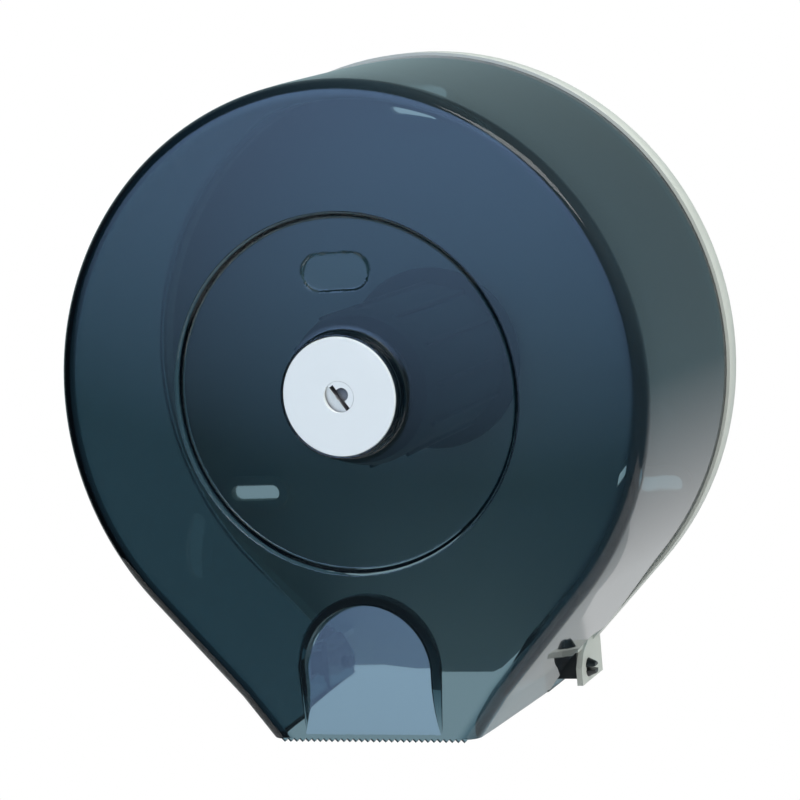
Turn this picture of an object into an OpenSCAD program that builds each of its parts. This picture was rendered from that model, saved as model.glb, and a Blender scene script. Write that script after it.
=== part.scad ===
// Jumbo toilet roll dispenser: wall plate, smoked cover, core hub, key lock.
// Frame: origin on the wall plane at the drum axis, X right, Z up, front at -Y.

/* [Display] */
// Sub-part to draw

/* [Cover] */
// Radius of the drum wall at the front
cover_radius = 129.5; // [100:0.5:160]
// Depth from the wall to the front panel
cover_depth = 121; // [90:1:150]
// Wall thickness of the cover
cover_wall = 2.5; // [2:0.1:4]
// Outward draft of the side wall in degrees
draft_angle = 2.2; // [0.5:0.1:4]
// Outer radius of the front edge
edge_radius = 5.5; // [4:0.5:8]
// Lowest height of the cover walls
cover_bottom = -145; // [-160:0.5:-140]
// Direction of the slanting wall's outward normal
tangent_angle = -41.9; // [-50:0.1:-35]
// Direction of the foot wall's outward normal
foot_angle = -36.95; // [-41:0.05:-30]
// Length of the slanting wall from the drum to the foot wall
slant_length = 55.8; // [45:0.1:65]

/* [Front panel] */
// Radius of the step in the panel's inner face
recess_radius = 75.7; // [60:0.1:90]
// Depth of the round recess
recess_depth = 3.5; // [2:0.1:5]
// Width of the thick ring between the outer and inner steps
ring_width = 3; // [2:0.1:6]
// Radius of the collar where it meets the recess
collar_base = 26.4; // [26:0.1:30]
// Radius of the collar at its top
collar_top = 25.9; // [25.6:0.1:28]
// Height of the collar in front of the front panel
collar_proud = 4.2; // [1:0.1:6]
// Radius of the fillet at the foot of the collar
collar_fillet = 1.6; // [0.5:0.1:4]
// Depth of the skirt behind the lock seat
skirt_depth = 6.4; // [4:0.1:7]
// Wall of the skirt
skirt_wall = 2.2; // [1.5:0.1:3]
// Length of the bare label recess
label_length = 30; // [20:0.5:40]
// Height of the bare label recess
label_height = 16.2; // [10:0.1:20]
// Height of the label recess above the drum axis
label_rise = 50.6; // [45:0.1:55]
// Depth of the label recess
label_depth = 0.8; // [0.4:0.1:1.2]

/* [Tear edge] */
// Half width of the arch recess
arch_half = 31.7; // [25:0.1:36]
// Half width of the arch recess at its foot
arch_foot = 30.6; // [24:0.1:35]
// Height of the arch recess centre
arch_centre = -116.1; // [-120:0.1:-110]
// Depth of the arch recess at its top
arch_depth = 6; // [4:0.5:8]
// Width of the thick band round the arch recess
arch_band = 3.7; // [2:0.1:6]
// Number of tear teeth
tooth_count = 31; // [20:1:36]
// Spacing of the tear teeth
tooth_pitch = 2.68; // [2.2:0.02:3]
// Height of the tear teeth
tooth_height = 1.35; // [1:0.05:2]

/* [Back plate] */
// Radius of the back plate
plate_radius = 135; // [130:0.5:150]
// Direction of the back plate's slanting edge
plate_angle = -44.2; // [-50:0.1:-38]
// Depth of the back plate rim
rim_depth = 11; // [8:0.5:16]
// Thickness of the back plate's walls
plate_wall = 2.6; // [2:0.1:4]
// Height of the lower edge of the back plate
plate_bottom = -144.6; // [-150:0.1:-140]
// Half width of the back plate foot
foot_half = 63.6; // [60:0.1:68]
// Reach of the nesting lip in front of the rim
lip_reach = 3.2; // [2:0.1:5]
// Gap between the nesting lip and the cover wall
lip_gap = 0.6; // [0.4:0.1:1]
// Gap between the cover's rear edge and the rim
seam_gap = 0.4; // [0.3:0.1:1]

/* [Wall fixing] */
// Length of a fixing slot
slot_length = 24; // [16:0.5:30]
// Width of a fixing slot
slot_width = 7; // [5:0.1:9]
// Distance of the lower slots from the centre line
slot_side = 94.5; // [85:0.5:105]
// Height of the lower slots
slot_low = -59.7; // [-75:0.1:-45]
// Height of the upper slot
slot_high = 112; // [105:0.5:118]
// Depth of the fixing pads
pad_depth = 5.5; // [4:0.5:8]

/* [Spindle and core hub] */
// Outer radius of the fixed spindle
spindle_radius = 20.5; // [16:0.5:24]
// Wall of the spindle tube
spindle_wall = 3; // [2:0.1:4]
// Radius of the spindle flange
flange_radius = 29; // [24:0.5:34]
// Thickness of the spindle flange
flange_thick = 3; // [2:0.1:5]
// Gap between the lock shank and the spindle's front end
cap_room = 4.9; // [4.2:0.1:8]
// Outer radius of the core hub over its ribs
hub_radius = 34.5; // [30:0.5:37]
// Wall of the core hub
hub_wall = 2.2; // [1.8:0.1:3]
// Distance of the hub's rear face from the wall
hub_rear = 9.6; // [8:0.1:20]
// End play of the hub behind its cap
hub_play = 0.6; // [0.3:0.1:1.5]
// Number of grip ribs on the hub
hub_ribs = 12; // [6:1:20]
// Running clearance of the hub on the spindle
run_gap = 0.09; // [0.05:0.01:0.1]
// Radius of the hub cap
cap_radius = 25; // [22:0.5:28]
// Thickness of the hub cap
cap_thick = 3; // [2:0.1:4]

/* [Lock] */
// Radius of the white lock disc
disc_radius = 24.7; // [20:0.1:26]
// Thickness of the lock disc
disc_thick = 4.2; // [3:0.1:6]
// Bevel of the lock disc's edge
disc_edge = 0.3; // [0.2:0.1:1]
// Outer radius of the lock shank
shank_radius = 10; // [9:0.1:11]
// Radius of the lock plug
plug_radius = 6.5; // [5:0.1:8]
// Length of the lock shank behind the disc
shank_length = 12.4; // [10:0.1:14]
// Width of the key slot
key_width = 2; // [1.5:0.1:3]
// Turned position of the key slot from upright in degrees
key_turn = -34; // [-60:1:60]
// Depth of the key slot
key_depth = 4; // [2:0.1:4.2]
// Radius of the pin hole beside the key slot
pin_radius = 2.9; // [1.5:0.1:3.2]
// Distance of the pin hole from the plug's centre
pin_shift = 1.6; // [1:0.1:2.5]
// Depth of the dished half of the plug at its rim
dish_depth = 2.6; // [0.8:0.1:3]
// Length of the cam
cam_length = 23; // [18:0.5:25]
// Width of the cam
cam_width = 6; // [5:0.5:8]
// Thickness of the cam
cam_thick = 2; // [1.5:0.1:3]

/* [Hinge] */
// Distance of the hinge axis from the wall
hinge_out = 20; // [16:0.5:24]
// Height of the hinge axis
hinge_height = -138.5; // [-142:0.1:-134]
// Radius of the hinge trunnion
trunnion_radius = 2.6; // [2:0.1:4]
// Running clearance of the trunnion in the lug
trunnion_gap = 0.08; // [0.05:0.01:0.1]
// Inner face of the cover lug from the centre line
lug_inner = 48; // [46:0.1:50]
// Thickness of the cover lug
lug_thick = 2.8; // [2:0.1:4]
// Inner face of the bracket ear from the centre line
ear_inner = 61; // [59:0.1:62]
// Radius of the snap stud neck
stud_radius = 3; // [2.5:0.1:4]
// Radius of the snap stud head
stud_head = 4.2; // [3.5:0.1:5]
// Clearance of the stud neck in its hole
stud_gap = 0.15; // [0.1:0.05:0.4]

/* [Hidden] */
$fn = 96;
eps = 0.01;
slope = tan(draft_angle);
seam_y = -rim_depth;
join_step = 0.03;
join_back = 2;
front_y = -cover_depth;
wall_in = cover_wall / cos(draft_angle);
cover_rear = seam_y - seam_gap;
edge_in = edge_radius + 3;
recess_floor = front_y + recess_depth;
collar_y = front_y - collar_proud;
bend = foot_angle - tangent_angle;
foot_distance = cover_radius * cos(bend) - slant_length * sin(bend);
foot_shift = foot_distance - cover_radius;
run_end = 1.6 * cover_radius;
disc_front = collar_y - 0.3;
disc_back = disc_front + disc_thick;
floor_back = disc_back + cover_wall;
shank_back = disc_back + shank_length;
spindle_front = -shank_back - cap_room;
hub_front = spindle_front - hub_play;
hub_cap_y = -spindle_front;
cam_y = hub_cap_y + 0.6;
hinge_y = -hinge_out;
shelf_low = -131.2;
shelf_tilt = 8;
block_low = hinge_height - 3.4;
block_front = hinge_y - 8.2;
block_back = hinge_y + 7;
block_in = lug_inner + lug_thick + 0.4;
head_long = 3.6;
shelf_in = lug_inner + lug_thick + 0.3 + plate_wall * sin(shelf_tilt);
stud_along = 4.8;
ear_reach = 10;
shelf_wide = 11.2;
stud_turn = 20;
screw_ring = 24.8;
screw_hole = 1.9;
cap_screw_ring = 16.6;
boss_length = 18;
tail_radius = 4;
seat_gap = 0.05;
plug_gap = 0.08;
cam_screw_long = 5;
swing_clear = 16;
notch_front = hinge_y - swing_clear - 1;
notch_top = hinge_height + swing_clear;
lug_top = hinge_height + 13.5;
clip_y = shank_back + 0.1;
clip_thick = 0.8;
reach = 2 * cover_radius;
arch_high = -88;
arch_low = -143;
seat_screw = 6;
cap_screw = 11;
thread_radius = 1.1;
plug_step = 4.5;
nut_washer = 1.2;
nut_height = 5;

// Radius of the wall's outer face at a distance from the front panel.
function wall_r(y) = cover_radius + slope * (y - front_y);

// Points of an arc in the plane, from angle a to angle b.
function arc(cx, cy, r, a, b, n) = [for (i = [0:n])
    [cx + r * cos(a + (b - a) * i / n), cy + r * sin(a + (b - a) * i / n)]];

// Where the slanting line at distance c meets the foot line at distance d.
function meet(c, d) = let (k = sin(foot_angle - tangent_angle))
    [(c * sin(foot_angle) - d * sin(tangent_angle)) / k,
     (d * cos(tangent_angle) - c * cos(foot_angle)) / k];

// Turns a drawing in (x, z) into a slab between two depths.
module slab(y0, y1) {
    translate([0, y1, 0])
        rotate([90, 0, 0])
            linear_extrude(height = y1 - y0)
                children();
}

// Turns a drawing in (radius, y) about the drum axis.
module lathe() {
    rotate([-90, 0, 0])
        rotate_extrude()
            children();
}

module rod(x, z, y0, y1, r) {
    translate([x, y1, z])
        rotate([90, 0, 0])
            cylinder(h = y1 - y0, r = r);
}

module both_sides() {
    children();
    mirror([1, 0, 0])
        children();
}

// ---- cover ----

// Section of the drum wall and the edge of the front panel.
module wall_section() {
    polygon(concat(
        [[wall_r(cover_rear + 2), cover_rear + 2]],
        [[wall_r(cover_rear + 2) - wall_in, cover_rear + 2]],
        arc(wall_r(front_y) - wall_in - edge_in, front_y + cover_wall + edge_in,
            edge_in, 0, -90, 7),
        [[wall_r(front_y) - 22, front_y + cover_wall]],
        [[wall_r(front_y) - 22, front_y]],
        arc(wall_r(front_y) - edge_radius, front_y + edge_radius,
            edge_radius, -90, 0, 7)));
}

// Straight run of the wall whose outward normal points along angle a.
module wall_run(a, shift, from, to) {
    rotate([0, -a, 0])
        translate([shift, 0, -to])
            linear_extrude(height = to - from)
                wall_section();
}

module kink_side(upper) {
    inner = meet(cover_radius - 40, foot_distance - 40);
    outer = meet(cover_radius + 40, foot_distance + 40);
    far = cover_radius * (upper ? [2, 0.9] : [0.45, -2.5]);
    near = cover_radius * (upper ? [0, 0.45] : [-0.45, -1.9]);
    slab(front_y - 5, 5)
        polygon([inner, outer, far, near]);
}

module cover_side() {
    intersection() {
        wall_run(tangent_angle, -join_step, -join_back, run_end);
        kink_side(true);
    }
    intersection() {
        wall_run(foot_angle, foot_shift, slant_length / 2, run_end);
        kink_side(false);
    }
}

module drum_half() {
    rotate([-90, 0, 0])
        rotate([0, 0, -90])
            rotate_extrude(angle = 90 - tangent_angle)
                wall_section();
}

// Flat outline of the front panel, inset from the wall by d.
module panel_outline(d) {
    c = cover_radius - d;
    f = foot_distance - d;
    k = meet(c, f);
    low = cover_bottom - 3;
    fx = (f - low * sin(foot_angle)) / cos(foot_angle);
    t = [c * cos(tangent_angle), c * sin(tangent_angle)];
    circle(r = c);
    polygon([[0, 0], t, k, [fx, low], [-fx, low], [-k[0], k[1]], [-t[0], t[1]]]);
}

module dish_section() {
    ring_in = recess_radius - ring_width;
    top = recess_floor;
    polygon(concat(
        [[recess_radius + 4, front_y]],
        [[ring_in + 0.7, front_y]],
        [[ring_in + 0.25, front_y + 0.25]],
        [[ring_in, top - 0.4]],
        [[ring_in - 0.5, top]],
        arc(collar_base + collar_fillet, top - collar_fillet, collar_fillet, 90, 180, 5),
        [[collar_top, collar_y + 0.3]],
        [[collar_top - 0.3, collar_y]],
        [[disc_radius + 0.2, collar_y]],
        [[disc_radius + 0.2, disc_back]],
        [[shank_radius + 0.2, disc_back]],
        [[shank_radius + 0.2, floor_back]],
        [[collar_base - skirt_wall - 0.2, floor_back]],
        [[collar_base - skirt_wall, floor_back + skirt_depth]],
        [[collar_base - 0.2, floor_back + skirt_depth]],
        [[collar_base, top + cover_wall]],
        [[recess_radius - 0.6, top + cover_wall]],
        [[recess_radius, top + cover_wall - 0.6]],
        [[recess_radius + 0.2, front_y + cover_wall]],
        [[recess_radius + 4, front_y + cover_wall]]));
}

// Arch outline, inset from the inner step by d.
module arch_outline(d) {
    translate([0, arch_centre])
        circle(r = arch_half - d);
    polygon([[-arch_foot + d, arch_centre + 4], [arch_foot - d, arch_centre + 4],
        [arch_foot - d, 2 * arch_centre], [-arch_foot + d, 2 * arch_centre]]);
}

// Space in front of the sloping floor of the arch recess.
module arch_wedge(shift, lift) {
    rise = arch_depth / (arch_high - arch_low);
    translate([-2 * arch_half, 0, 0])
        rotate([90, 0, 90])
            linear_extrude(height = 4 * arch_half)
                polygon([[front_y + lift, arch_low - 17],
                    [front_y + shift - 17 * rise, arch_low - 17],
                    [front_y + shift + arch_depth + 15 * rise, arch_high + 15],
                    [front_y + lift, arch_high + 15]]);
}

module tear_teeth() {
    start = -tooth_count * tooth_pitch / 2;
    slab(front_y, front_y + cover_wall)
        polygon(concat(
            [[start, cover_bottom + 1], [start, cover_bottom]],
            [for (i = [0:2 * tooth_count - 2])
                [start + (i + 1) * tooth_pitch / 2,
                 cover_bottom - ((i % 2 == 0) ? tooth_height : 0)]],
            [[-start, cover_bottom], [-start, cover_bottom + 1]]));
}

// Side view of the notch that clears the hinge block as the cover swings.
module notch_side() {
    polygon([[notch_front, cover_bottom - 9], [notch_front, notch_top - 7.5],
        [notch_front + 8.5, notch_top], [1, notch_top], [1, cover_bottom - 9]]);
}

module side_slab(x, thick) {
    translate([x, 0, 0])
        rotate([90, 0, 90])
            linear_extrude(height = thick)
                children();
}

// Side view of the lug that carries the hinge bore.
module lug_side() {
    polygon([[notch_front - cover_wall, cover_bottom], [hinge_y + 4, cover_bottom],
        [hinge_y + 7.5, cover_bottom + 4], [hinge_y + 7.5, hinge_height + 2],
        [hinge_y - 3, lug_top], [notch_front - cover_wall, lug_top]]);
}

module cover_lug() {
    side_slab(lug_inner, lug_thick)
        lug_side();
    // web from the lug's front edge out to the wall
    intersection() {
        side_slab(lug_inner, reach)
            polygon([[notch_front - cover_wall, cover_bottom], [notch_front, cover_bottom],
                [notch_front, lug_top], [notch_front - cover_wall, lug_top]]);
        slab(front_y, cover_rear)
            panel_outline(1);
    }
}

module notch() {
    side_slab(lug_inner + lug_thick, reach)
        notch_side();
    // wall left between the lug and the seam
    side_slab(lug_inner - 6, reach)
        difference() {
            polygon([[hinge_y - 3, lug_top], [hinge_y + 7.5, hinge_height + 2],
                [hinge_y + 7.5, cover_bottom + 4], [hinge_y + 4, cover_bottom],
                [hinge_y + 4, cover_bottom - 9], [5, cover_bottom - 9], [5, notch_top - 2],
                [notch_front + 8.5, notch_top]]);
            lug_side();
        }
}

module front_cover() {
    color([0.16, 0.22, 0.28, 0.6])
    difference() {
        union() {
            intersection() {
                union() {
                    both_sides() {
                        drum_half();
                        cover_side();
                    }
                    difference() {
                        slab(front_y, front_y + cover_wall)
                            panel_outline(12);
                        rod(0, 0, front_y - 1, front_y + 6, recess_radius + 3);
                        intersection() {
                            slab(front_y - 1, front_y + reach)
                                arch_outline(arch_band);
                            arch_wedge(0.6, -1);
                        }
                    }
                    lathe() dish_section();
                    intersection() {
                        slab(front_y, front_y + reach)
                            arch_outline(0);
                        arch_wedge(cover_wall, 0);
                    }
                }
                slab(front_y - 10, cover_rear)
                    translate([-reach, cover_bottom])
                        square([2 * reach, 2 * reach]);
            }
            both_sides() cover_lug();
            tear_teeth();
        }
        intersection() {
            slab(front_y - 1, front_y + reach)
                arch_outline(arch_band);
            arch_wedge(0, -1);
        }
        slab(recess_floor - 1, recess_floor + label_depth)
            translate([0, label_rise])
                slot_shape(label_length, label_height);
        both_sides() {
            notch();
            translate([lug_inner - 1, hinge_y, hinge_height])
                rotate([0, 90, 0])
                    cylinder(h = lug_thick + 2, r = trunnion_radius + trunnion_gap);
        }
    }
}

module slot_shape(long, wide) {
    square([long - wide, wide], center = true);
    for (s = [-1, 1])
        translate([s * (long - wide) / 2, 0])
            circle(r = wide / 2);
}

// ---- back plate ----

module plate_outline(d) {
    c = plate_radius - d;
    t = [c * cos(plate_angle), c * sin(plate_angle)];
    fx = foot_half - d;
    fz = (c - fx * cos(plate_angle)) / sin(plate_angle);
    intersection() {
        union() {
            circle(r = c);
            polygon([[0, 0], t, [fx, fz], [fx, plate_bottom], [-fx, plate_bottom],
                [-fx, fz], [-t[0], t[1]]]);
        }
        translate([-2 * c, plate_bottom])
            square([4 * c, 4 * c]);
    }
}

module nesting_lip() {
    r1 = wall_r(cover_rear) - wall_in - lip_gap;
    rotate([-90, 0, 0])
        rotate([0, 0, -200])
            rotate_extrude(angle = 220)
                polygon([[r1 - 2.2, seam_y + 4], [r1 - 2.2, seam_y - lip_reach],
                    [r1 - 0.8, seam_y - lip_reach], [r1 - 0.2, seam_y],
                    [plate_radius - 1, seam_y], [plate_radius - 1, seam_y + 2.2],
                    [r1 - 0.2, seam_y + 4]]);
}

module slot_pad(x, z) {
    translate([x, -pad_depth, z])
        rotate([-90, 0, 0])
            linear_extrude(height = pad_depth)
                slot_shape(slot_length + 8, slot_width + 8);
}

module slot_hole(x, z) {
    translate([x, -pad_depth - 1, z])
        rotate([-90, 0, 0])
            linear_extrude(height = pad_depth + 2)
                slot_shape(slot_length, slot_width);
}

module hinge_bracket() {
    // upright ear
    rotate([90, 0, 90])
        translate([0, 0, ear_inner])
            linear_extrude(height = plate_wall)
                difference() {
                    polygon([[0, -122], [-rim_depth, -124.5],
                        [hinge_y + 2, -126.5], [hinge_y - 6, -131],
                        [hinge_y - ear_reach, -137], [hinge_y - ear_reach, plate_bottom],
                        [0, plate_bottom]]);
                    translate([hinge_y, hinge_height])
                        circle(r = stud_radius + stud_gap);
                }
    // tilted shelf
    difference() {
        translate([shelf_in, hinge_y - ear_reach, shelf_low])
            rotate([0, -shelf_tilt, 0])
                cube([shelf_wide, hinge_out + ear_reach - 1, plate_wall]);
        translate([shelf_in, hinge_y + 1, shelf_low])
            rotate([0, -shelf_tilt, 0])
                translate([stud_along, 0, -plate_wall])
                    cylinder(h = 3 * plate_wall, r = stud_radius + stud_gap);
    }
}

module back_plate() {
    color([0.76, 0.77, 0.75])
    difference() {
        union() {
            slab(-plate_wall, 0) plate_outline(0);
            difference() {
                slab(seam_y, 0) plate_outline(0);
                slab(seam_y - 1, -plate_wall) plate_outline(plate_wall);
                translate([-foot_half + plate_wall, seam_y - 1, plate_bottom - 1])
                    cube([2 * (foot_half - plate_wall), rim_depth - plate_wall + 1, 10]);
            }
            intersection() {
                nesting_lip();
                slab(seam_y - 8, 0) circle(r = plate_radius - 0.5);
            }
            slot_pad(slot_side, slot_low);
            slot_pad(-slot_side, slot_low);
            slot_pad(0, slot_high);
            // spindle seat and ribs
            rod(0, 0, -plate_wall - 3, 0, flange_radius + 1.5);
            both_sides() hinge_bracket();
        }
        rod(0, 0, -plate_wall - 4, -plate_wall - 1.4, flange_radius + 0.15);
        for (a = [45:90:315])
            rotate([0, a, 0])
                rod(screw_ring, 0, -plate_wall - 4, 1, screw_hole - 0.5 + seat_gap);
        slot_hole(slot_side, slot_low);
        slot_hole(-slot_side, slot_low);
        slot_hole(0, slot_high);
    }
}

// ---- spindle, hub ----

flange_back = -plate_wall - 1.4;
flange_front = flange_back - flange_thick;

module spindle() {
    color([0.86, 0.87, 0.86])
    difference() {
        union() {
            rod(0, 0, flange_front, flange_back, flange_radius);
            difference() {
                rod(0, 0, -spindle_front, flange_front + eps, spindle_radius);
                rod(0, 0, -spindle_front - 1, flange_back + 1, spindle_radius - spindle_wall);
            }
            for (s = [0, 180])
                rotate([0, s, 0])
                    intersection() {
                        rod(cap_screw_ring, 0, -spindle_front, -spindle_front + boss_length, 2.8);
                        rod(0, 0, -spindle_front - 1, 0, spindle_radius - 1);
                    }
        }
        rod(0, 0, -spindle_front + boss_length, flange_back + 1, spindle_radius - spindle_wall);
        for (s = [0, 180])
            rotate([0, s, 0])
                rod(cap_screw_ring, 0, -spindle_front - 1, -spindle_front + cap_screw + 1,
                    thread_radius + seat_gap);
        for (a = [45:90:315])
            rotate([0, a, 0])
                rod(screw_ring, 0, flange_front - 1, flange_back + 1, screw_hole + 0.1);
    }
}

module pan_screw(r, head, long) {
    difference() {
        union() {
            translate([0, 0, -0.5])
                cylinder(h = long + 0.5, r = r, $fn = 32);
            translate([0, 0, -head * 0.55])
                cylinder(h = head * 0.55, r1 = head * 0.8, r2 = head, $fn = 40);
        }
        for (a = [0, 90])
            rotate([0, 0, a])
                translate([-head * 0.5, -0.45, -head * 0.55 - 0.1])
                    cube([head, 0.9, head * 0.32]);
    }
}

module spindle_screws() {
    color([0.72, 0.73, 0.75])
    for (a = [45:90:315])
        rotate([0, a, 0])
            translate([screw_ring, flange_front, 0])
                rotate([-90, 0, 0])
                    pan_screw(screw_hole - 0.5, 3.6, seat_screw);
}

module cap_screws() {
    color([0.72, 0.73, 0.75])
    for (s = [0, 180])
        rotate([0, s, 0])
            translate([cap_screw_ring, -spindle_front - cap_thick, 0])
                rotate([-90, 0, 0])
                    pan_screw(thread_radius, 2.3, cap_screw);
}

hub_length = hub_front - hub_rear;

module core_hub() {
    color([0.80, 0.81, 0.80])
    union() {
        lathe()
            polygon([[hub_radius - 1.5 - hub_wall, -hub_rear],
                [hub_radius + 6, -hub_rear],
                [hub_radius + 6, -hub_rear - 2.2],
                [hub_radius - 1.5, -hub_rear - 2.2],
                [hub_radius - 1.5, -hub_front + 6],
                [hub_radius - 3.5, -hub_front],
                [spindle_radius + run_gap, -hub_front],
                [spindle_radius + run_gap, -hub_front + 14],
                [spindle_radius + run_gap + 2.2, -hub_front + 14],
                [spindle_radius + run_gap + 2.2, -hub_front + 2.4],
                [hub_radius - 1.5 - hub_wall, -hub_front + 2.4]]);
        lathe()
            polygon([[spindle_radius + run_gap, -hub_rear],
                [spindle_radius + run_gap, -hub_rear - 12],
                [spindle_radius + run_gap + 2.2, -hub_rear - 12],
                [spindle_radius + run_gap + 2.2, -hub_rear - 2.4],
                [hub_radius - 2, -hub_rear - 2.4],
                [hub_radius - 2, -hub_rear]]);
        for (i = [0:hub_ribs - 1])
            rotate([0, i * 360 / hub_ribs, 0])
                translate([hub_radius - 2.2, -hub_front + 8, -0.9])
                    cube([2.2, hub_length - 9, 1.8]);
    }
}

module hub_cap() {
    cam_slot_z = cam_length / 2 + 4.4;
    color([0.80, 0.81, 0.80])
    difference() {
        rod(0, 0, -spindle_front - cap_thick, -spindle_front, cap_radius);
        slab(-spindle_front - cap_thick - 1, -spindle_front + 1) {
            square([cam_width + 3, 2 * cam_slot_z], center = true);
            circle(r = tail_radius + 3);
        }
        for (s = [0, 180])
            rotate([0, s, 0])
                rod(cap_screw_ring, 0, -spindle_front - cap_thick - 1,
                    -spindle_front + 1, 1.25);
    }
}

// ---- lock ----

module lock_body() {
    color([0.90, 0.91, 0.92])
    difference() {
        lathe()
            polygon([[0, disc_front], [disc_radius - disc_edge, disc_front],
                [disc_radius, disc_front + disc_edge], [disc_radius, disc_back],
                [shank_radius, disc_back], [shank_radius, shank_back],
                [0, shank_back]]);
        rod(0, 0, disc_front - 1, disc_front + plug_step + 0.1, plug_radius + plug_gap);
        rod(0, 0, disc_front - 1, shank_back + 1, plug_radius - 1 + plug_gap);
    }
}

module lock_nut() {
    color([0.70, 0.71, 0.72])
    difference() {
        union() {
            rod(0, 0, floor_back, floor_back + nut_washer, shank_radius + 5);
            translate([0, floor_back + nut_height, 0])
                rotate([90, 0, 0])
                    cylinder(h = nut_height - 1, r = shank_radius + 4.2, $fn = 6);
        }
        rod(0, 0, floor_back - 1, floor_back + nut_height + 1, shank_radius + seat_gap);
    }
}

module lock_plug() {
    color([0.88, 0.89, 0.90])
    difference() {
        union() {
            rod(0, 0, disc_front, disc_front + plug_step, plug_radius);
            rod(0, 0, disc_front + plug_step - eps, shank_back, plug_radius - 1);
            rod(0, 0, shank_back - eps, clip_y, tail_radius);
            rod(0, 0, clip_y - eps, clip_y + clip_thick + 0.1, tail_radius - 0.8);
            rod(0, 0, clip_y + clip_thick + 0.1 - eps, cam_y, tail_radius);
            slab(cam_y - eps, cam_y + cam_thick)
                cam_square(0);
        }
        rotate([0, key_turn, 0]) {
            // key slot, open at its lower end
            translate([-key_width / 2, disc_front - 1, -plug_radius - 1])
                cube([key_width, 1 + key_depth, 2 * plug_radius]);
            // pin hole
            rod(pin_shift, 0, disc_front - 1, disc_front + key_depth, pin_radius);
            // dished half
            translate([0, 0, -plug_radius - 1])
                linear_extrude(height = 2 * plug_radius + 2)
                    polygon([[-key_width / 2, disc_front - 1], [-key_width / 2, disc_front + 0.3],
                        [-plug_radius - 1, disc_front + dish_depth],
                        [-plug_radius - 1, disc_front - 1]]);
        }
        rod(0, 0, cam_y - cam_screw_long - 0.5, cam_y + cam_thick + 1,
            thread_radius + seat_gap);
    }
}

// Flatted end of the plug that drives the cam.
module cam_square(gap) {
    intersection() {
        circle(r = 3 + gap);
        square([4.2 + 2 * gap, 8], center = true);
    }
}

module plug_clip() {
    color([0.65, 0.66, 0.68])
    slab(clip_y, clip_y + clip_thick)
        difference() {
            circle(r = tail_radius + 2.4);
            circle(r = tail_radius - 0.7);
            translate([-2.9, 0])
                square([5.8, 12]);
        }
}

module lock_cam() {
    color([0.62, 0.63, 0.65])
    slab(cam_y, cam_y + cam_thick)
        difference() {
            union() {
                square([cam_width, cam_length - cam_width], center = true);
                for (s = [-1, 1])
                    translate([0, s * (cam_length - cam_width) / 2])
                        circle(r = cam_width / 2);
                circle(r = 4.6);
            }
            cam_square(seat_gap);
        }
}

module cam_screw() {
    color([0.72, 0.73, 0.75])
    translate([0, cam_y + cam_thick, 0])
        rotate([90, 0, 0])
            pan_screw(thread_radius, 3.6, cam_thick + cam_screw_long);
}

// ---- hinge blocks ----

module split_stud(reach) {
    difference() {
        union() {
            cylinder(h = reach + eps, r = stud_radius);
            translate([0, 0, reach])
                cylinder(h = head_long, r1 = stud_head, r2 = stud_head - 1.6);
        }
        translate([-0.8, -stud_head - 1, 0.4])
            cube([1.6, 2 * stud_head + 2, reach + head_long + 1]);
    }
}

module hinge_block() {
    x1 = ear_inner - seat_gap;
    color([0.05, 0.06, 0.07]) {
        difference() {
            translate([block_in, block_front, block_low])
                cube([x1 - block_in, block_back - block_front, 14]);
            translate([shelf_in, block_front - 1, shelf_low - seat_gap])
                rotate([0, -shelf_tilt, 0])
                    translate([-5, 0, 0])
                        cube([22, 30, 14]);
            translate([block_in - 1, hinge_y + 3, block_low - 1])
                cube([3, 9, 7]);
        }
        // trunnion through the cover lug
        translate([lug_inner - 1.2, hinge_y, hinge_height])
            rotate([0, 90, 0])
                cylinder(h = block_in - lug_inner + 3, r = trunnion_radius);
        // studs
        translate([x1 - eps, hinge_y, hinge_height])
            rotate([0, 90, 0])
                split_stud(plate_wall + 2 * seat_gap);
        translate([shelf_in, hinge_y + 1, shelf_low])
            rotate([0, -shelf_tilt, 0])
                translate([stud_along, 0, -seat_gap - 0.3])
                    rotate([0, 0, stud_turn])
                        split_stud(plate_wall + 2 * seat_gap + 0.3);
    }
}

module hinge_block_right() {
    hinge_block();
}

module hinge_block_left() {
    mirror([1, 0, 0])
        hinge_block();
}

back_plate();
spindle();
spindle_screws();
core_hub();
hub_cap();
cap_screws();
front_cover();
lock_body();
lock_nut();
lock_plug();
plug_clip();
lock_cam();
cam_screw();
hinge_block_left();
hinge_block_right();
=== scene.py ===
import math
import bpy
import bmesh
from mathutils import Vector, Matrix


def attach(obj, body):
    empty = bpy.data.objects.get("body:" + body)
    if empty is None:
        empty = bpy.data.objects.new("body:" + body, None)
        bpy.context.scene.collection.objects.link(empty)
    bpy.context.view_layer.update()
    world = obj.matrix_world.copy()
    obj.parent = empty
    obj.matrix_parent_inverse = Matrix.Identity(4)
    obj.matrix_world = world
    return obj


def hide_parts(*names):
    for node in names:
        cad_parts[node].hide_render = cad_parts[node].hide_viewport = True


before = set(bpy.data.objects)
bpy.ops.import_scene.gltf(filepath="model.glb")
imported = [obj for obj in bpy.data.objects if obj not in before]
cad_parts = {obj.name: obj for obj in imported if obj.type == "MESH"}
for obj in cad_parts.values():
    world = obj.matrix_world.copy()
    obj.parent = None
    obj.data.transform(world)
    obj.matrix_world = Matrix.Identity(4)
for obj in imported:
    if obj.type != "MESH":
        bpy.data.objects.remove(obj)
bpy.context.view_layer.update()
mm = 0.001
print("frame loaded:", len(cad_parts), "nodes")


def smoothStep(t):
    t = min(max(t, 0.0), 1.0)
    return t * t * (3.0 - 2.0 * t)


def lerp(a, b, t):
    return (a[0] + (b[0] - a[0]) * t, a[1] + (b[1] - a[1]) * t)


def polar(radius, degrees):
    a = math.radians(degrees)
    return (radius * math.cos(a), radius * math.sin(a))


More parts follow.
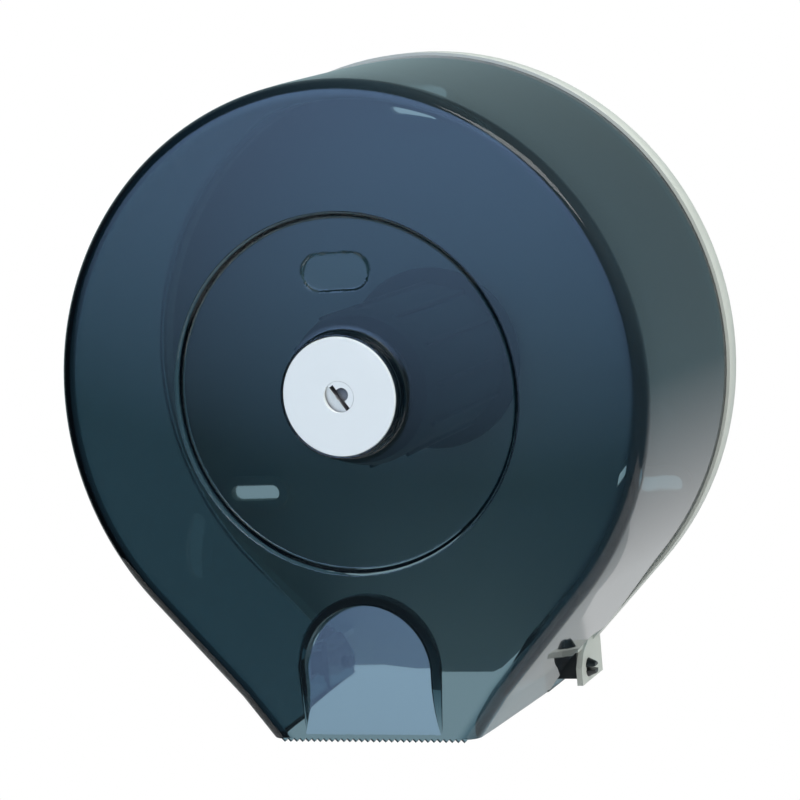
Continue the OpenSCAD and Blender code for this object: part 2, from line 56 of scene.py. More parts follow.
def linkMesh(name, verts, faces, material, creaseAngle=32.0):
    # verts in millimetres
    mesh = bpy.data.meshes.new(name)
    mesh.from_pydata([(x * mm, y * mm, z * mm) for x, y, z in verts], [], faces)
    bm = bmesh.new()
    bm.from_mesh(mesh)
    bmesh.ops.remove_doubles(bm, verts=bm.verts, dist=1e-7)
    bmesh.ops.dissolve_degenerate(bm, edges=bm.edges, dist=1e-7)
    bmesh.ops.recalc_face_normals(bm, faces=bm.faces)
    if bm.calc_volume(signed=True) < 0.0:
        bmesh.ops.reverse_faces(bm, faces=bm.faces)
    bm.to_mesh(mesh)
    bm.free()
    mesh.shade_smooth()
    mesh.set_sharp_from_angle(angle=math.radians(creaseAngle))
    obj = bpy.data.objects.new(name, mesh)
    bpy.context.scene.collection.objects.link(obj)
    mesh.materials.append(material)
    return obj


def newMaterial(name):
    mat = bpy.data.materials.new(name)
    mat.use_nodes = True
    mat.node_tree.nodes.clear()
    return mat, mat.node_tree.nodes, mat.node_tree.links


def objectCoords(nodes, links, scale=1.0):
    coords = nodes.new("ShaderNodeTexCoord")
    mapping = nodes.new("ShaderNodeMapping")
    mapping.inputs["Scale"].default_value = (scale, scale, scale)
    links.new(coords.outputs["Object"], mapping.inputs["Vector"])
    return mapping.outputs["Vector"]


def addNoise(nodes, links, vector, scale, detail=3.0, roughness=0.5):
    noise = nodes.new("ShaderNodeTexNoise")
    noise.inputs["Scale"].default_value = scale
    noise.inputs["Detail"].default_value = detail
    noise.inputs["Roughness"].default_value = roughness
    links.new(vector, noise.inputs["Vector"])
    return noise.outputs["Fac"]


def rampBetween(nodes, links, factor, low, high, start=0.3, end=0.7):
    ramp = nodes.new("ShaderNodeValToRGB")
    ramp.color_ramp.elements[0].position = start
    ramp.color_ramp.elements[1].position = end
    ramp.color_ramp.elements[0].color = low
    ramp.color_ramp.elements[1].color = high
    links.new(factor, ramp.inputs["Fac"])
    return ramp.outputs["Color"]


def rangeBetween(nodes, links, factor, low, high, start=0.3, end=0.7):
    span = nodes.new("ShaderNodeMapRange")
    span.inputs["From Min"].default_value = start
    span.inputs["From Max"].default_value = end
    span.inputs["To Min"].default_value = low
    span.inputs["To Max"].default_value = high
    links.new(factor, span.inputs["Value"])
    return span.outputs["Result"]


def multiply(nodes, links, first, second):
    product = nodes.new("ShaderNodeMath")
    product.operation = "MULTIPLY"
    links.new(first, product.inputs[0])
    links.new(second, product.inputs[1])
    return product.outputs[0]


def mixShaders(nodes, links, factor, first, second):
    mix = nodes.new("ShaderNodeMixShader")
    links.new(factor, mix.inputs["Fac"])
    links.new(first, mix.inputs[1])
    links.new(second, mix.inputs[2])
    return mix.outputs["Shader"]


def eitherRay(nodes, links, path, first, second):
    # 1 for the two kinds of ray, 0 for the rest
    either = nodes.new("ShaderNodeMath")
    either.operation = "MAXIMUM"
    links.new(path.outputs[first], either.inputs[0])
    links.new(path.outputs[second], either.inputs[1])
    return either.outputs[0]


def addBump(nodes, links, height, strength, distance):
    bump = nodes.new("ShaderNodeBump")
    bump.inputs["Strength"].default_value = strength
    bump.inputs["Distance"].default_value = distance
    links.new(height, bump.inputs["Height"])
    return bump.outputs["Normal"]


def mouldedPlastic(name, colour, shade, roughness, grain=900.0, grainDepth=0.00002):
    # opaque moulded plastic: faint mottling, a fine skin grain and uneven gloss
    mat, nodes, links = newMaterial(name)
    output = nodes.new("ShaderNodeOutputMaterial")
    shader = nodes.new("ShaderNodeBsdfPrincipled")
    coords = objectCoords(nodes, links)
    mottle = addNoise(nodes, links, coords, 22.0, 4.0)
    links.new(rampBetween(nodes, links, mottle, shade, colour), shader.inputs["Base Color"])
    cloud = addNoise(nodes, links, coords, 60.0, 3.0)
    links.new(rangeBetween(nodes, links, cloud, roughness - 0.05, roughness + 0.06),
              shader.inputs["Roughness"])
    skin = addNoise(nodes, links, coords, grain, 2.0)
    links.new(addBump(nodes, links, skin, 0.25, grainDepth), shader.inputs["Normal"])
    shader.inputs["IOR"].default_value = 1.5
    links.new(shader.outputs["BSDF"], output.inputs["Surface"])
    return mat


def paintHollowShade(mat, reach, darkest):
    # painted shade: the base colour darkens towards the given dark colour in the holes and slots of the
    # piece, where ambient occlusion finds close surfaces
    nodes, links = mat.node_tree.nodes, mat.node_tree.links
    shader = next(n for n in nodes if n.type == "BSDF_PRINCIPLED")
    plain = shader.inputs["Base Color"].links[0].from_socket
    hollow = nodes.new("ShaderNodeAmbientOcclusion")
    hollow.inputs["Distance"].default_value = reach
    hollow.samples = 12
    shade = nodes.new("ShaderNodeMix")
    shade.data_type = "RGBA"
    shade.inputs["A"].default_value = darkest
    links.new(rangeBetween(nodes, links, hollow.outputs["AO"], 0.0, 1.0, 0.25, 0.85),
              shade.inputs["Factor"])
    links.new(plain, shade.inputs["B"])
    links.new(shade.outputs["Result"], shader.inputs["Base Color"])
    return mat


def metalFinish(name, colour, shade, roughness):
    mat, nodes, links = newMaterial(name)
    output = nodes.new("ShaderNodeOutputMaterial")
    shader = nodes.new("ShaderNodeBsdfPrincipled")
    shader.inputs["Metallic"].default_value = 1.0
    coords = objectCoords(nodes, links)
    patch = addNoise(nodes, links, coords, 150.0, 4.0)
    links.new(rampBetween(nodes, links, patch, shade, colour), shader.inputs["Base Color"])
    links.new(rangeBetween(nodes, links, patch, roughness - 0.06, roughness + 0.1),
              shader.inputs["Roughness"])
    scratch = addNoise(nodes, links, coords, 1200.0, 2.0)
    links.new(addBump(nodes, links, scratch, 0.15, 0.00001), shader.inputs["Normal"])
    links.new(shader.outputs["BSDF"], output.inputs["Surface"])
    return mat


smoke = {
    "tint": (0.145, 0.352, 0.42, 1.0),  # colour that the absorption leaves
    "density": 850.0,                    # per metre
    "ior": 1.57,
    "roughness": 0.035,
    "haze": 0.004, "hazeColour": (0.30, 0.55, 1.0, 1.0),
}


def smokedPlastic():
    # clear smoked plastic with real thickness: the tint comes from the depth of the wall
    mat, nodes, links = newMaterial("smokedPlastic")
    output = nodes.new("ShaderNodeOutputMaterial")
    glass = nodes.new("ShaderNodeBsdfPrincipled")
    glass.inputs["Base Color"].default_value = (1.0, 1.0, 1.0, 1.0)
    glass.inputs["Transmission Weight"].default_value = 1.0
    glass.inputs["IOR"].default_value = smoke["ior"]
    coords = objectCoords(nodes, links)
    haze = addNoise(nodes, links, coords, 14.0, 4.0)
    links.new(rangeBetween(nodes, links, haze, smoke["roughness"] * 0.6, smoke["roughness"] * 1.5),
              glass.inputs["Roughness"])
    flow = addNoise(nodes, links, coords, 9.0, 2.0)
    links.new(addBump(nodes, links, flow, 0.06, 0.0004), glass.inputs["Normal"])
    # lamps and bounced light pass straight through and keep only the tint of the depth
    clear = nodes.new("ShaderNodeBsdfTransparent")
    path = nodes.new("ShaderNodeLightPath")
    through = eitherRay(nodes, links, path, "Is Shadow Ray", "Is Diffuse Ray")
    # the filler in the plastic scatters a little blue light back
    milky = nodes.new("ShaderNodeBsdfDiffuse")
    milky.inputs["Color"].default_value = smoke["hazeColour"]
    cloudy = rangeBetween(nodes, links, haze, smoke["haze"] * 0.7, smoke["haze"] * 1.3)
    body = mixShaders(nodes, links, cloudy, glass.outputs["BSDF"], milky.outputs["BSDF"])
    links.new(mixShaders(nodes, links, through, body, clear.outputs["BSDF"]), output.inputs["Surface"])
    absorb = nodes.new("ShaderNodeVolumeAbsorption")
    absorb.inputs["Color"].default_value = smoke["tint"]
    absorb.inputs["Density"].default_value = smoke["density"]
    links.new(absorb.outputs["Volume"], output.inputs["Volume"])
    return mat


smokeMat = smokedPlastic()
plateMat = mouldedPlastic("plateGrey", (0.56, 0.58, 0.54, 1), (0.53, 0.55, 0.51, 1), 0.42)
hubMat = mouldedPlastic("hubGrey", (0.105, 0.14, 0.135, 1), (0.095, 0.125, 0.12, 1), 0.60,
                       700.0, 0.000006)
lockMat = mouldedPlastic("lockWhite", (0.82, 0.85, 0.85, 1), (0.79, 0.82, 0.82, 1), 0.50, 1400.0)
plugMat = mouldedPlastic("plugWhite", (0.82, 0.85, 0.85, 1), (0.79, 0.82, 0.82, 1), 0.45, 1400.0)
# painted shade in the key slot, the hole and the dished rim of the lock plug
paintHollowShade(plugMat, 0.008, (0.10, 0.09, 0.10, 1))
hingeMat = mouldedPlastic("hingeBlack", (0.006, 0.008, 0.010, 1), (0.004, 0.005, 0.006, 1), 0.36)
zincMat = metalFinish("zincPlate", (0.74, 0.75, 0.77, 1), (0.62, 0.63, 0.66, 1), 0.32)
nickelMat = metalFinish("nickelPlate", (0.70, 0.69, 0.66, 1), (0.62, 0.61, 0.58, 1), 0.24)
springMat = metalFinish("springSteel", (0.50, 0.51, 0.53, 1), (0.42, 0.43, 0.45, 1), 0.28)
camMat = metalFinish("camSteel", (0.60, 0.61, 0.63, 1), (0.52, 0.53, 0.56, 1), 0.36)
print("materials made")


nodeFinish = {
    "back_plate": plateMat, "spindle": hubMat, "core_hub": hubMat, "hub_cap": hubMat,
    "spindle_screws": zincMat, "cap_screws": zincMat, "cam_screw": zincMat,
    "lock_body": lockMat, "lock_plug": plugMat, "lock_nut": nickelMat,
    "plug_clip": springMat, "lock_cam": camMat,
    "hinge_block_left": hingeMat, "hinge_block_right": hingeMat,
    "front_cover": smokeMat,
}


def dressNode(node, material, rounding=0.25):
    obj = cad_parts[node]
    obj.data.materials.clear()
    obj.data.materials.append(material)
    weld = obj.modifiers.new("weld", "WELD")
    weld.merge_threshold = 1e-6
    bevel = obj.modifiers.new("edges", "BEVEL")
    bevel.width = rounding * mm
    bevel.segments = 2
    bevel.limit_method = "ANGLE"
    bevel.angle_limit = math.radians(34)
    bevel.harden_normals = True
    bevel.miter_outer = "MITER_ARC"


crispNodes = {"lock_body": 0.08, "lock_plug": 0.06, "lock_cam": 0.1, "plug_clip": 0.08}
for node, material in nodeFinish.items():
    dressNode(node, material, crispNodes.get(node, 0.25))
print("carried-over nodes dressed")


cover = {
    "radius": 129.5, "depth": 121.0, "wall": 2.5, "draft": 2.2,
    "edge": 5.5, "innerEdge": 6.5, "seam": 11.4,
    "tangentAngle": -41.9, "footAngle": -36.95, "slantLength": 55.8, "bottom": -145.0,
    "recess": 75.7, "recessDepth": 3.5, "ringWidth": 3.0, "ringRound": 0.9,
    "collarBase": 26.4, "collarTop": 25.9, "collarProud": 4.2, "collarFillet": 0.9,
    "bore": 24.9, "shankBore": 10.2, "seatDepth": 3.9, "skirtDepth": 6.4, "skirtWall": 2.2,
    "arch": 31.7, "archFoot": 30.6, "archCentre": -116.1, "archDepth": 6.0, "archBand": 3.7,
    "archLow": -143.0, "archRun": 55.0, "archRound": 0.7,
    "label": (30.0, 16.2, 50.6, 0.8),
    "teeth": 31, "toothPitch": 2.68, "toothHeight": 1.35,
    "innerRing": 80.0,
}
frontY = -cover["depth"]
slope = math.tan(math.radians(cover["draft"]))
bend = math.radians(cover["footAngle"] - cover["tangentAngle"])
cover["footDistance"] = cover["radius"] * math.cos(bend) - cover["slantLength"] * math.sin(bend)


def meetOfLines(c, f):
    ta, fa = math.radians(cover["tangentAngle"]), math.radians(cover["footAngle"])
    k = math.sin(fa - ta)
    return ((c * math.sin(fa) - f * math.sin(ta)) / k, (f * math.cos(ta) - c * math.cos(fa)) / k)


def outlinePoint(kind, t, d):
    # a point of the cover's outline, moved outward by d; right half, kind as below
    radius, foot = cover["radius"] + d, cover["footDistance"] + d
    if kind == "arc":
        return polar(radius, t)
    kink = meetOfLines(radius, foot)
    if kind == "slant":
        return lerp(polar(radius, cover["tangentAngle"]), kink, t)
    fa = math.radians(cover["footAngle"])
    low = ((foot - cover["bottom"] * math.sin(fa)) / math.cos(fa), cover["bottom"])
    return lerp(kink, low, t)


def panelDepth(x, z, inner=False):
    # how far the panel lies behind its plane; the outer face slopes, the inner one steps
    r = math.hypot(x, z)
    width = cover["ringRound"] if inner else cover["ringWidth"]
    depth = cover["recessDepth"] * smoothStep((cover["recess"] - r) / width)
    if inner:
        return depth + cover["wall"]
    long, high, rise, sunk = cover["label"]
    flat = max(abs(x) - (long - high) / 2, 0.0)
    edge = high / 2 - math.hypot(flat, z - rise)
    return depth + sunk * smoothStep(edge / 0.7)


def coverColumns():
    # columns round the drum: right half from the top, the tear edge, then the mirrored half
    half = []
    angle = 90.0
    while angle > cover["tangentAngle"] + 0.01:
        half.append(("arc", angle))
        angle -= 0.6 if angle > 68 else 1.6
    half.append(("arc", cover["tangentAngle"]))
    half += [("slant", i / 14) for i in range(1, 15)]
    half += [("foot", i / 12) for i in range(1, 13)]
    tear = [1.0 - i / 40 for i in range(1, 80)]
    return half, tear


def wallRings():
    # (outward offset, y, inward offset, inner y) from the front edge to the seam
    rings = []
    steps = 10
    for i in range(1, steps + 1):
        a = math.radians(90.0 * i / steps)
        rings.append((-cover["edge"] * (1 - math.sin(a)), frontY + cover["edge"] * (1 - math.cos(a)),
                      -cover["wall"] - cover["innerEdge"] * (1 - math.sin(a)),
                      frontY + cover["wall"] + cover["innerEdge"] * (1 - math.cos(a))))
    start = rings[-1]
    for i in range(1, 9):
        t = i / 8
        outY = start[1] + (-cover["seam"] - start[1]) * t
        inY = start[3] + (-cover["seam"] - start[3]) * t
        rings.append((slope * (outY - frontY), outY,
                      slope * (inY - frontY) - cover["wall"], inY))
    return rings


def makeCover():
    half, tear = coverColumns()
    columns = [("side", 1, k, t) for k, t in half]
    columns += [("tear", 1, share, 0.0) for share in tear]
    columns += [("side", -1, k, t) for k, t in reversed(half) if not (k == "arc" and t == 90.0)]
    fillet = cover["collarFillet"]
    innerRadii = [29.0, 30.5, 32.5, 35.0, 38.0, 40.0]
    innerRadii += [40.9 + 0.35 * i for i in range(58)]
    innerRadii += [62.5, 65.0, 67.5, 70.0, 71.4]
    innerRadii += [72.3 + 0.15 * i for i in range(26)]
    innerRadii += [76.6, 78.0, cover["innerRing"]]
    panelSteps = 24
    collarY = frontY - cover["collarProud"]
    floor = collarY + cover["seatDepth"]
    dishY = frontY + cover["recessDepth"]
    base, back = cover["collarBase"], floor + cover["wall"]
    hubOut = [(cover["shankBore"], floor), (cover["bore"] - 0.4, floor), (cover["bore"], floor - 0.4),
              (cover["bore"], collarY + 0.3), (cover["bore"] + 0.1, collarY + 0.08),
              (cover["bore"] + 0.3, collarY), (cover["collarTop"] - 0.35, collarY),
              (cover["collarTop"] - 0.1, collarY + 0.1), (cover["collarTop"], collarY + 0.35)]
    for i in range(7):
        a = math.radians(15.0 * i)
        hubOut.append((base + fillet * (1 - math.cos(a)), dishY - fillet * (1 - math.sin(a))))
    hubIn = [(cover["shankBore"], back), (base - cover["skirtWall"] - 0.6, back),
             (base - cover["skirtWall"] - 0.2, back + 0.4),
             (base - cover["skirtWall"], back + cover["skirtDepth"] - 0.3),
             (base - cover["skirtWall"] + 0.3, back + cover["skirtDepth"]),
             (base - 0.5, back + cover["skirtDepth"]), (base - 0.2, back + cover["skirtDepth"] - 0.3),
             (base, dishY + cover["wall"] + 0.5), (base + 0.5, dishY + cover["wall"])]
    rings = wallRings()
    verts, outer, inner = [], [], []

    def put(x, y, z):
        verts.append((x, y, z))
        return len(verts) - 1

    for form, side, a, b in columns:
        if form == "side":
            kind, t = a, b
            end = outlinePoint(kind, t, -cover["edge"])
            inEnd = outlinePoint(kind, t, -cover["wall"] - cover["innerEdge"])
        else:
            reach = outlinePoint("foot", 1.0, -cover["edge"])[0]
            inReach = outlinePoint("foot", 1.0, -cover["wall"] - cover["innerEdge"])[0]
            end, inEnd = (reach * a, cover["bottom"]), (inReach * a, cover["bottom"])
        angle = math.atan2(end[1], end[0])
        c, s = math.cos(angle), math.sin(angle)
        ring = (cover["innerRing"] * c, cover["innerRing"] * s)
        out, inn = [], []
        for r, y in hubOut:
            out.append(put(side * r * c, y, r * s))
        for r in innerRadii:
            out.append(put(side * r * c, frontY + panelDepth(r * c, r * s), r * s))
        for i in range(1, panelSteps + 1):
            x, z = lerp(ring, end, i / panelSteps)
            y = frontY + panelDepth(x, z)
            out.append(put(side * x, y, z))
        for r, y in hubIn:
            inn.append(put(side * r * c, y, r * s))
        for r in innerRadii:
            y = frontY + panelDepth(r * c, r * s, True)
            inn.append(put(side * r * c, y, r * s))
        for i in range(1, panelSteps + 1):
            x, z = lerp(ring, inEnd, i / panelSteps)
            y = frontY + panelDepth(x, z, True)
            inn.append(put(side * x, y, z))
        if form == "side":
            for d, y, di, yi in rings:
                x, z = outlinePoint(kind, t, d)
                out.append(put(side * x, y, z))
                x, z = outlinePoint(kind, t, di)
                inn.append(put(side * x, yi, z))
        outer.append(out)
        inner.append(inn)

    faces = []
    count = len(columns)
    outEnd = len(hubOut) + len(innerRadii) + panelSteps - 1   # last point of the panel
    innEnd = len(hubIn) + len(innerRadii) + panelSteps - 1
    for k in range(count):
        n = (k + 1) % count
        bothSides = columns[k][0] == "side" and columns[n][0] == "side"
        for strip, flip in ((outer, False), (inner, True)):
            a, b = strip[k], strip[n]
            for i in range(min(len(a), len(b)) - 1):
                quad = (a[i], a[i + 1], b[i + 1], b[i])
                faces.append(quad[::-1] if flip else quad)
        faces.append((outer[k][0], outer[n][0], inner[n][0], inner[k][0]))  # shank hole
        if bothSides:
            faces.append((outer[k][-1], inner[k][-1], inner[n][-1], outer[n][-1]))
        else:
            faces.append((outer[k][outEnd], inner[k][innEnd], inner[n][innEnd], outer[n][outEnd]))
    # cut faces at the bottom of the two foot walls
    for k in (len(half) - 1, len(half) + len(tear)):
        for i in range(len(rings)):
            p, q = outEnd + i, innEnd + i
            faces.append((outer[k][p], outer[k][p + 1], inner[k][q + 1], inner[k][q]))
    return linkMesh("smokedCover", verts, faces, smokeMat, 40.0)


def loft(name, rings):
    # closed solid through outlines that have the same number of points
    n = len(rings[0])
    verts = [point for ring in rings for point in ring]
    faces = [tuple(range(n)), tuple(range(len(verts) - 1, len(verts) - n - 1, -1))]
    for k in range(len(rings) - 1):
        a, b = k * n, (k + 1) * n
        faces += [(a + i, b + i, b + (i + 1) % n, a + (i + 1) % n) for i in range(n)]
    return linkMesh(name, verts, faces, smokeMat)


def prism(name, points, place, rounding=0.0):
    # place(u, v) gives the near and the far point of each outline point
    n = len(points)
    obj = loft(name, [[place(u, v)[0] for u, v in points], [place(u, v)[1] for u, v in points]])
    if rounding:
        bm = bmesh.new()
        bm.from_mesh(obj.data)
        bm.verts.ensure_lookup_table()
        rim = [e for e in bm.edges if all(v.index >= n for v in e.verts)]
        bmesh.ops.bevel(bm, geom=rim, offset=rounding * mm, segments=4, profile=0.5,
                        affect="EDGES", clamp_overlap=True)
        bm.to_mesh(obj.data)
        bm.free()
    return obj


def carve(target, tools):
    # joins or cuts the tools in turn, bakes the result and removes the tools
    for tool, operation in tools:
        cut = target.modifiers.new(tool.name, "BOOLEAN")
        cut.object, cut.operation, cut.solver = tool, operation, "MANIFOLD"
    bpy.context.view_layer.update()
    baked = bpy.data.meshes.new_from_object(target.evaluated_get(bpy.context.evaluated_depsgraph_get()))
    target.modifiers.clear()
    target.data = baked
    for tool, operation in tools:
        bpy.data.objects.remove(tool)
    baked.shade_smooth()
    baked.set_sharp_from_angle(angle=math.radians(32))


def archOutline(inset):
    # round top; down the legs the inset shrinks, so that two outlines meet at the foot
    radius = cover["arch"] - inset
    right = []
    for i in range(25):
        t = 1.0 - i / 24
        half = radius - t * (cover["arch"] - cover["archFoot"]) + inset * 0.93 * t ** 2.3
        right.append((half, cover["archCentre"] + t * (cover["archLow"] - cover["archCentre"])))
    top = [polar(radius, 180 * i / 72) for i in range(1, 72)]
    return (right + [(x, z + cover["archCentre"]) for x, z in top]
            + [(-x, z) for x, z in reversed(right)])


def archWell():
    # straight sides and a small fillet round the sloping floor
    rings = []
    for spread, share, out in ((0.0, 0.0, 1.0), (0.0, 0.90, 0.0), (0.2, 0.97, 0.0),
                               (0.7, 1.0, 0.0), (1.6, 1.0, 0.0)):
        rings.append([(x, frontY - out + share * (archFloor(z, 0.0) - frontY), z)
                      for x, z in archOutline(cover["archBand"] + spread)])
    return loft("archWell", rings)


def archFloor(z, behind):
    rise = cover["archDepth"] / cover["archRun"]
    return frontY + behind + max(rise * (z - cover["archLow"]), 0.02)


hinge = {
    "out": 20.0, "height": -138.5, "bore": 2.68, "lugInner": 48.0, "lug": 2.8,
    "swing": 16.0, "reach": 259.0,
}
hingeY, hingeZ = -hinge["out"], hinge["height"]
notchFront = hingeY - hinge["swing"] - 1.0
notchTop, lugTop = hingeZ + hinge["swing"], hingeZ + 13.5


def cornerOutline():
    # side view (y, z) of the notch that clears the hinge block as the cover swings
    low = cover["bottom"] - 9.0
    return [(notchFront, low), (notchFront, notchTop - 7.5), (notchFront + 8.5, notchTop),
            (1.0, notchTop), (1.0, low)]


def lugOutline():
    low = cover["bottom"] + 0.02
    return [(notchFront - cover["wall"], low), (hingeY + 4, low), (hingeY + 7.5, low + 4),
            (hingeY + 7.5, hingeZ + 2), (hingeY - 3, lugTop), (notchFront - cover["wall"], lugTop)]


def wallX(z, d):
    # where the cover's wall, moved outward by d, stands at a height below the drum
    lines = ((cover["footDistance"], cover["footAngle"]), (cover["radius"], cover["tangentAngle"]))
    return max((far + d - z * math.sin(math.radians(a))) / math.cos(math.radians(a))
               for far, a in lines)


def webOutline():
    # front view (x, z) of the web that joins the lug to the wall
    low, top = cover["bottom"] + 0.04, lugTop - 0.04
    drift = slope * (notchFront - frontY) - 1.2
    heights = [low + (top - low) * i / 4 for i in range(5)]
    inner = hinge["lugInner"] + 0.6
    return [(inner, top), (inner, low)] + [(wallX(z, drift), z) for z in heights]


def toothOutline():
    half = cover["teeth"] * cover["toothPitch"] / 2
    low, step = cover["bottom"], cover["toothPitch"] / 2
    points = [(-half, low + 1.0), (-half, low)]
    for i in range(2 * cover["teeth"] - 1):
        points.append((-half + (i + 1) * step, low - (cover["toothHeight"] if i % 2 == 0 else 0.0)))
    return points + [(half, low), (half, low + 1.0)]


def detailCover(target):
    tools = [
        (prism("archStep", archOutline(0.0),
               lambda x, z: ((x, frontY + 0.6, z), (x, archFloor(z, cover["wall"]), z)),
               cover["archRound"]), "UNION"),
        (archWell(), "DIFFERENCE"),
    ]
    tools.append((prism("tearTeeth", toothOutline(),
                        lambda x, z: ((x, frontY + 0.02, z), (x, frontY + cover["wall"] - 0.02, z))),
                  "UNION"))
    for side in (1, -1):
        inner, outer = side * hinge["lugInner"], side * (hinge["lugInner"] + hinge["lug"])
        far = side * hinge["reach"]
        webY = (notchFront - cover["wall"] + 0.02, notchFront - 0.02)
        tools.append((prism("web", webOutline(),
                            lambda x, z: ((side * x, webY[0], z), (side * x, webY[1], z))), "UNION"))
        tools.append((prism("cornerCut", cornerOutline(),
                            lambda y, z: ((outer - side * 0.02, y, z), (far, y, z))), "DIFFERENCE"))
        tools.append((prism("lug", lugOutline(), lambda y, z: ((inner, y, z), (outer, y, z))), "UNION"))
        bore = [(hingeY + hinge["bore"] * math.cos(math.radians(7.5 * i)),
                 hingeZ + hinge["bore"] * math.sin(math.radians(7.5 * i))) for i in range(48)]
        tools.append((prism("lugBore", bore,
                            lambda y, z: ((inner - side, y, z), (outer + side, y, z))), "DIFFERENCE"))
    carve(target, tools)


coverObj = makeCover()
detailCover(coverObj)
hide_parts("front_cover")
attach(coverObj, "cover")
print("cover made:", len(coverObj.data.vertices), "vertices")


room = {
    "floorHeight": -0.62, "floorSize": 2.4, "floorColour": (0.82, 0.82, 0.82, 1),
    "whiteLevel": 1.0,
    "lowLevel": 0.27, "highLevel": 0.62, "roomColour": (0.93, 1.0, 0.96, 1),
    "mirrorColour": (0.68, 0.95, 1.0, 1),  # the walls as the plastic mirrors them
    "riseFrom": -0.10, "riseTo": 0.50,   # the room brightens over this height
    "backLevel": 0.40,                   # the room behind the object is even
    "glowFrom": -0.13, "glowTo": -0.42,  # low behind the object the room turns white
    "cardLevel": 3.9, "cardColour": (0.37, 0.59, 1.0, 1),
    "cardPlace": (-0.31, -0.93, 0.17), "cardEdge": 0.945, "cardCore": 0.990,
    "darkSide": 0.08,                    # share of the light that the left of the room keeps
}


def makeWorld():
    world = bpy.data.worlds.new("studioWorld")
    world.use_nodes = True
    nodes, links = world.node_tree.nodes, world.node_tree.links
    nodes.clear()
    output = nodes.new("ShaderNodeOutputWorld")
    white = nodes.new("ShaderNodeBackground")
    white.inputs["Color"].default_value = (1, 1, 1, 1)
    white.inputs["Strength"].default_value = room["whiteLevel"]
    walls = nodes.new("ShaderNodeBackground")
    card = nodes.new("ShaderNodeBackground")
    card.inputs["Color"].default_value = room["cardColour"]
    card.inputs["Strength"].default_value = room["cardLevel"]
    coords = nodes.new("ShaderNodeTexCoord")
    split = nodes.new("ShaderNodeSeparateXYZ")
    links.new(coords.outputs["Generated"], split.inputs[0])
    height = rangeBetween(nodes, links, split.outputs["Z"], room["lowLevel"], room["highLevel"],
                          room["riseFrom"], room["riseTo"])
    side = rangeBetween(nodes, links, split.outputs["X"], room["darkSide"], 1.0, -0.7, 0.1)
    behind = nodes.new("ShaderNodeMix")
    behind.inputs["B"].default_value = room["backLevel"]
    links.new(rangeBetween(nodes, links, split.outputs["Y"], 0.0, 1.0, 0.0, 0.5),
              behind.inputs["Factor"])
    links.new(multiply(nodes, links, height, side), behind.inputs["A"])
    links.new(behind.outputs["Result"], walls.inputs["Strength"])
    path = nodes.new("ShaderNodeLightPath")
    paint = nodes.new("ShaderNodeMix")
    paint.data_type = "RGBA"
    paint.inputs["A"].default_value = room["roomColour"]
    paint.inputs["B"].default_value = room["mirrorColour"]
    links.new(path.outputs["Is Glossy Ray"], paint.inputs["Factor"])
    links.new(paint.outputs["Result"], walls.inputs["Color"])
    under = rangeBetween(nodes, links, split.outputs["Z"], 1.0, 0.0, room["glowTo"], room["glowFrom"])
    far = rangeBetween(nodes, links, split.outputs["Y"], 0.0, 1.0, 0.1, 0.6)
    low = mixShaders(nodes, links, multiply(nodes, links, under, far),
                     walls.outputs["Background"], white.outputs["Background"])
    # a cool card hangs before the object and fades at its edge
    toward = nodes.new("ShaderNodeVectorMath")
    toward.operation = "DOT_PRODUCT"
    toward.inputs[1].default_value = Vector(room["cardPlace"]).normalized()
    links.new(coords.outputs["Generated"], toward.inputs[0])
    onCard = rangeBetween(nodes, links, toward.outputs["Value"], 0.0, 1.0,
                          room["cardEdge"], room["cardCore"])
    soft = mixShaders(nodes, links, onCard, low, card.outputs["Background"])
    seen = eitherRay(nodes, links, path, "Is Camera Ray", "Is Transmission Ray")
    shown = mixShaders(nodes, links, seen, soft, white.outputs["Background"])
    links.new(shown, output.inputs["Surface"])
    bpy.context.scene.world = world


def makeFloor():
    mat, nodes, links = newMaterial("paleFloor")
    output = nodes.new("ShaderNodeOutputMaterial")
    matte = nodes.new("ShaderNodeBsdfDiffuse")
    matte.inputs["Color"].default_value = room["floorColour"]
    white = nodes.new("ShaderNodeEmission")
    white.inputs["Strength"].default_value = room["whiteLevel"]
    path = nodes.new("ShaderNodeLightPath")
    seen = eitherRay(nodes, links, path, "Is Camera Ray", "Is Transmission Ray")
    top = mixShaders(nodes, links, seen, matte.outputs["BSDF"], white.outputs["Emission"])
    # from below the floor is clear
    under = nodes.new("ShaderNodeNewGeometry")
    clear = nodes.new("ShaderNodeBsdfTransparent")
    links.new(mixShaders(nodes, links, under.outputs["Backfacing"], top, clear.outputs["BSDF"]),
              output.inputs["Surface"])
    s = room["floorSize"] / 2
    mesh = bpy.data.meshes.new("floor")
    mesh.from_pydata([(-s, -s, 0), (s, -s, 0), (s, s, 0), (-s, s, 0)], [], [(0, 1, 2, 3)])
    floor = bpy.data.objects.new("floor", mesh)
    floor.location.z = room["floorHeight"]
    mesh.materials.append(mat)
    bpy.context.scene.collection.objects.link(floor)


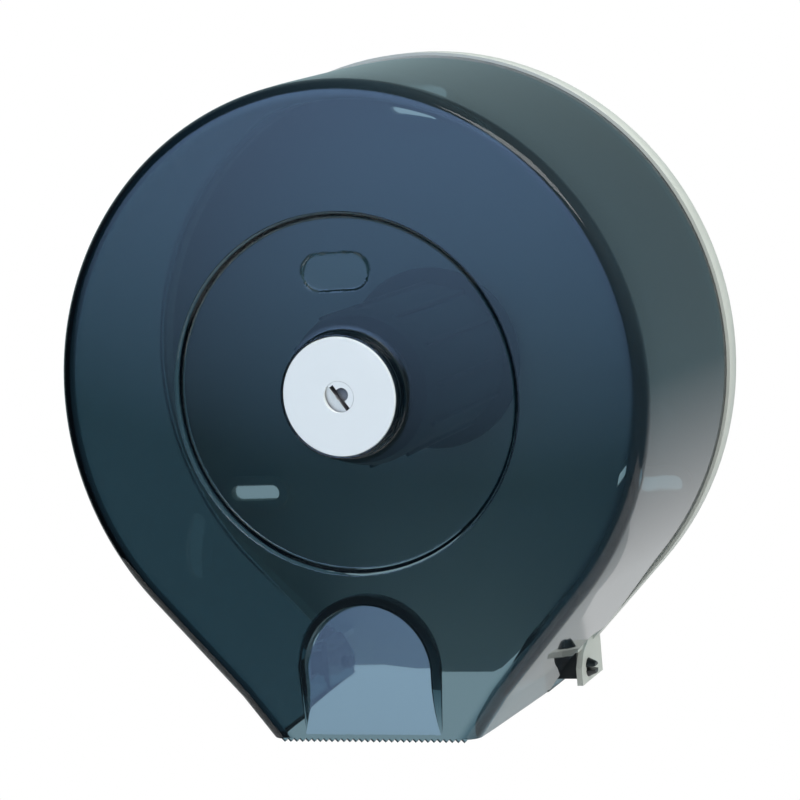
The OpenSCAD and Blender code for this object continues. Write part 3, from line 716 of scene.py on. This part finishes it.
def addLamp(name, place, target, size, power, colour=(1, 1, 1)):
    data = bpy.data.lights.new(name, "AREA")
    data.shape = "RECTANGLE"
    data.size, data.size_y = size
    data.energy = power
    data.color = colour
    lamp = bpy.data.objects.new(name, data)
    lamp.location = place
    lamp.rotation_euler = (Vector(target) - Vector(place)).to_track_quat("-Z", "Y").to_euler()
    bpy.context.scene.collection.objects.link(lamp)
    return lamp


view = {
    "azimuth": 21.202, "elevation": 7.507, "roll": 4.97,
    "distance": 1230.628, "shiftRight": -23.3, "shiftUp": 3.901,
    "focal": 135.0, "sensor": 36.0,
}


def makeCamera():
    az, el = math.radians(view["azimuth"]), math.radians(view["elevation"])
    back = Vector((math.sin(az) * math.cos(el), -math.cos(az) * math.cos(el), math.sin(el)))
    right = Vector((math.cos(az), math.sin(az), 0.0))
    up = right.cross(-back)
    front = Vector((0, frontY, 0))
    place = front - right * view["shiftRight"] - up * view["shiftUp"] + back * view["distance"]
    roll = math.radians(view["roll"])
    camRight = right * math.cos(roll) - up * math.sin(roll)
    camUp = right * math.sin(roll) + up * math.cos(roll)
    data = bpy.data.cameras.new("camera")
    data.lens, data.sensor_width = view["focal"], view["sensor"]
    data.clip_start, data.clip_end = 0.05, 50.0
    camera = bpy.data.objects.new("camera", data)
    turn = Matrix((camRight, camUp, back)).transposed().to_4x4()
    camera.matrix_world = Matrix.Translation(place * mm) @ turn
    bpy.context.scene.collection.objects.link(camera)
    bpy.context.scene.camera = camera


makeWorld()
makeFloor()
sideLamp = addLamp("softboxRight", (1.5, -0.5, 0.7), (0, 0, 0), (1.2, 1.6), 15.5)
addLamp("softboxFront", (0.5, -1.7, 1.1), (0, 0, 0), (1.0, 0.8), 7)
topLamp = addLamp("softboxTop", (0.1, -0.4, 1.5), (0, 0, 0), (1.6, 1.2), 17)
for lamp in (sideLamp, topLamp):
    lamp.visible_glossy = False   # they would draw bright lines along the rounded edges
    lamp.visible_transmission = False
makeCamera()
bpy.context.scene.view_settings.view_transform = "Standard"
print("room, lights and camera set")
